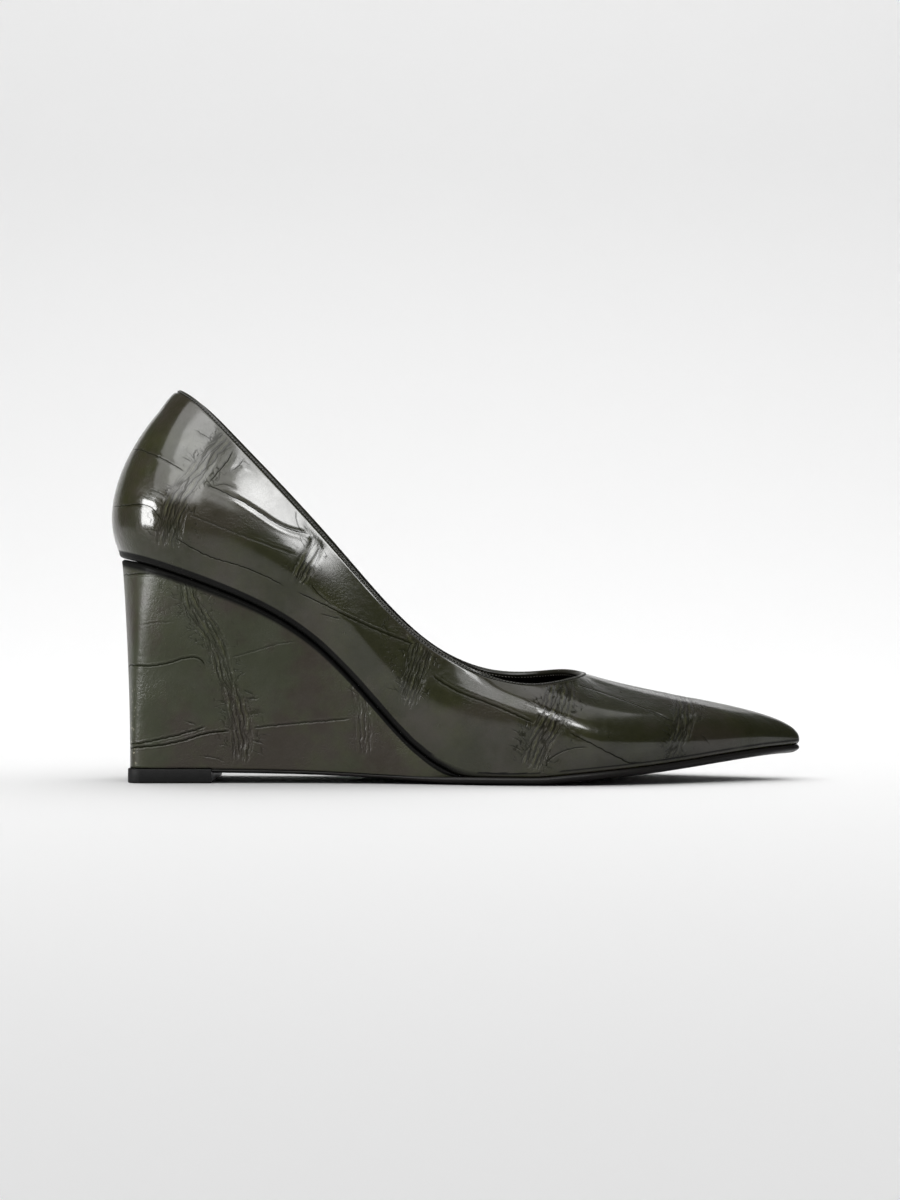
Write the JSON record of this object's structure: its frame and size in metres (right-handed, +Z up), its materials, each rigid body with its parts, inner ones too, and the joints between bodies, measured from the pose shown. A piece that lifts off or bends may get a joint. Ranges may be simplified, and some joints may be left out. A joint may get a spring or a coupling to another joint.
{
  "type": "wedge pump",
  "caption": "Womens right pump with a pointed toe, an embossed glossy leather upper and a high covered wedge heel.",
  "frame": {"origin": "middle of the top piece's flat face, on the floor under the heel", "axes": "+X towards the toe, +Y towards the shoe's inner side, +Z up"},
  "size_m": [0.2457, 0.077, 0.1391],
  "materials": {
    "upper": "glossy embossed",
    "insole": "matt",
    "wedge": "satin embossed",
    "outsole": "satin",
    "top_piece": "matt"
  },
  "bodies": {
    "root": {"upper": "upper", "insole": "insole", "wedge": "wedge", "outsole": "outsole", "top_piece": "top_piece"}
  },
  "joints": []
}
